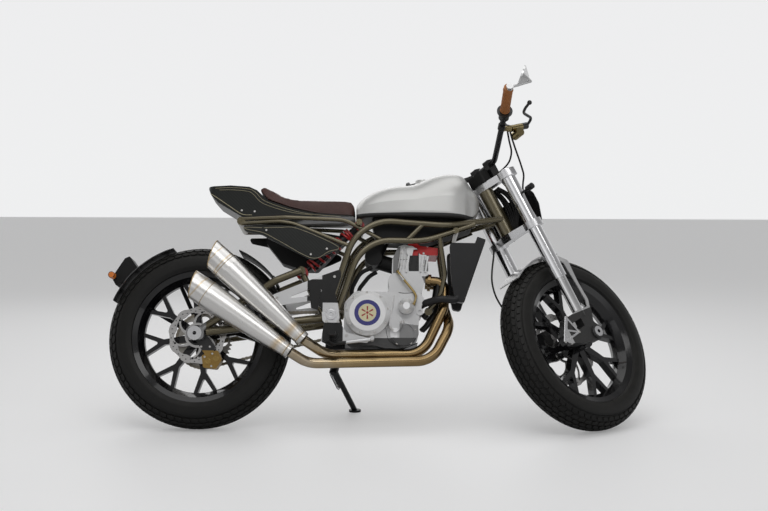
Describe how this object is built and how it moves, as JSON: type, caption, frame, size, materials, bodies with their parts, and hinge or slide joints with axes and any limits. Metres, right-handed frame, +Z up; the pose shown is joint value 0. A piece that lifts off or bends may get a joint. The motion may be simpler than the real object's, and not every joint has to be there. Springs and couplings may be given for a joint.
{
  "type": "flat-track style motorcycle",
  "caption": "Motorcycle in flat-track style with a tube frame, stacked megaphone silencers, cast wheels and a wide handlebar, leaning on its side stand with the steering on its left stop.",
  "frame": {"origin": "centre of the bounding box on the ground that the tyres and the side stand rest on", "axes": "+X forward along the motorcycle, +Y to the rider's left, towards which it leans, +Z up"},
  "size_m": [2.0748, 0.7178, 1.3534],
  "materials": {
    "bar_metal": "black anodised",
    "black_metal": "satin black",
    "black_plastic": "matt black",
    "bright_alloy": "satin machined",
    "brushed_pipe": "brushed, tinted by heat",
    "chain_steel": "oiled steel",
    "dark_shell": "dark woven shell, satin",
    "disc_steel": "ground",
    "frame_paint": "satin bronze olive",
    "gold_alloy": "gold anodised",
    "grey_alloy": "cast, satin",
    "grip_rubber": "tan",
    "hose_rubber": "matt",
    "red_paint": "gloss red",
    "seat_leather": "dark brown, matt",
    "silver_paint": "satin silver",
    "tyre_rubber": "matt",
    "wheel_black": "satin black"
  },
  "bodies": {
    "chassis": {"frame_left": "frame_paint", "frame_right": "frame_paint", "frame_cross_tubes": "frame_paint", "subframe": "frame_paint", "swingarm_pivot": "bright_alloy", "swingarm": "frame_paint", "rear_axle": "bright_alloy", "rear_caliper": "gold_alloy", "drive_chain": "chain_steel", "shock": "red_paint", "crankcase": "grey_alloy", "clutch_cover": "grey_alloy", "cylinder_head": "grey_alloy", "exhaust_headers": "brushed_pipe", "silencers": "brushed_pipe", "radiator": "black_metal", "fuel_tank": "silver_paint", "seat": "seat_leather", "tail_unit": "dark_shell", "side_panels": "dark_shell", "airbox_and_guards": "black_plastic", "rear_mudguard": "dark_shell", "footrests": "bright_alloy", "belly_plate": "bright_alloy", "stand_bracket": "black_metal"},
    "fork": {"fork_clamps": "bright_alloy", "fork_outer_tubes": "bright_alloy", "fork_lowers": "bright_alloy", "front_axle": "bright_alloy", "front_caliper": "gold_alloy", "handlebar": "bar_metal", "grips": "grip_rubber", "bar_controls": "black_metal", "instrument": "black_plastic", "front_plate": "black_plastic", "front_mudguard": "dark_shell", "brake_hoses": "hose_rubber"},
    "front_wheel": {"front_tyre": "tyre_rubber", "front_wheel": "wheel_black", "front_brake_disc": "disc_steel"},
    "rear_wheel": {"rear_tyre": "tyre_rubber", "rear_wheel": "wheel_black", "rear_brake_disc": "disc_steel", "rear_sprocket": "chain_steel"},
    "side_stand": {"side_stand": "black_metal"}
  },
  "joints": [
    {"name": "steering", "type": "hinge", "parent": "chassis", "child": "fork", "pos_m": [0.85051, -0.21968, -0.00598], "axis": [-0.4331, 0.2484, 0.8664], "range_deg": [-74, 0]},
    {"name": "front_wheel_spin", "type": "hinge", "parent": "fork", "child": "front_wheel", "pos_m": [0.73721, -0.09289, 0.31204], "axis": [-0.5424, 0.6959, -0.4707], "continuous": true},
    {"name": "rear_wheel_spin", "type": "hinge", "parent": "chassis", "child": "rear_wheel", "pos_m": [-0.69244, -0.12209, 0.33435], "axis": [0, 0.9613, -0.2756], "continuous": true},
    {"name": "stand_fold", "type": "hinge", "parent": "chassis", "child": "side_stand", "pos_m": [-0.18706, -0.04282, 0.19723], "axis": [0.1895, 0.7196, 0.6681], "range_deg": [0, 97]}
  ]
}
